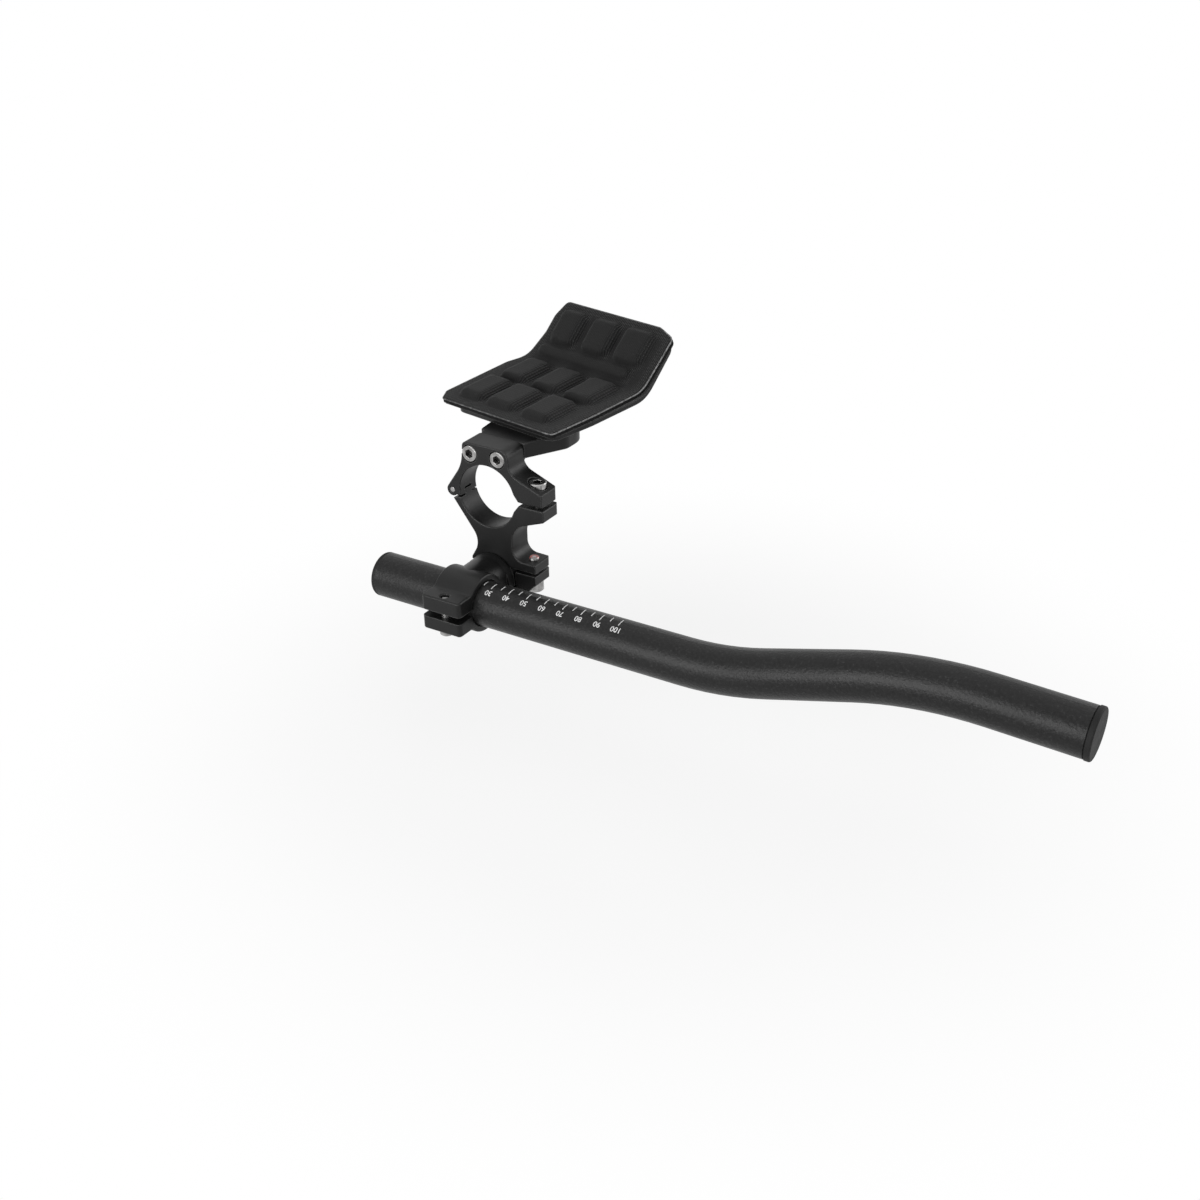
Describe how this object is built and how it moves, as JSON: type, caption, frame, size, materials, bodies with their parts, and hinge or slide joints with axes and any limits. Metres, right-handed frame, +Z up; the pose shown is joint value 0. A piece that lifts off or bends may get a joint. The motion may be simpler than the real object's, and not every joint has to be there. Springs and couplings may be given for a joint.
{
  "type": "aero handlebar extension",
  "caption": "Left-hand aero handlebar extension: hinged bar clamp carrying a padded armrest above and a double-bend tube below, with tilt and length adjustment.",
  "frame": {"origin": "centre of the handlebar clamp's bore, halfway along the bore", "axes": "+X forward along the extension tube, +Y outward along the handlebar to the rider's left, +Z up"},
  "size_m": [0.3531, 0.1578, 0.1197],
  "materials": {
    "anodised_black": "satin black anodised",
    "blasted_black": "bead-blasted black anodised with an etched white scale",
    "tray_black": "satin black sheet",
    "stainless": "bright stainless steel",
    "black_plastic": "matte black plastic",
    "hook_tape": "black hook and loop tape",
    "pad_fabric": "ribbed black fabric over moulded foam"
  },
  "bodies": {
    "bracket": {"bracket_body": "anodised_black", "handlebar_clamp_cap": "anodised_black", "handlebar_hinge_pin": "stainless", "handlebar_clamp_bolt": "stainless", "tilt_clamp_cap": "anodised_black", "tilt_hinge_pin": "stainless", "tilt_clamp_bolt": "stainless", "armrest_arm": "anodised_black", "arm_bolts": "stainless", "armrest_tray": "tray_black", "tray_bolts": "stainless", "hook_patches": "hook_tape", "pad_backing": "hook_tape", "armrest_pad": "pad_fabric"},
    "tilt_head": {"extension_clamp": "anodised_black", "extension_clamp_bolt": "stainless"},
    "extension": {"extension_tube": "blasted_black", "rear_end_plug": "black_plastic", "front_end_plug": "black_plastic"}
  },
  "joints": [
    {"name": "extension_tilt", "type": "hinge", "parent": "bracket", "child": "tilt_head", "pos_m": [0.0014, 0, -0.04254], "axis": [0, 1, 0], "range_deg": [-25, 10]},
    {"name": "extension_slide", "type": "slide", "parent": "tilt_head", "child": "extension", "axis": [1, 0, 0], "range_m": [-0.075, 0]}
  ]
}
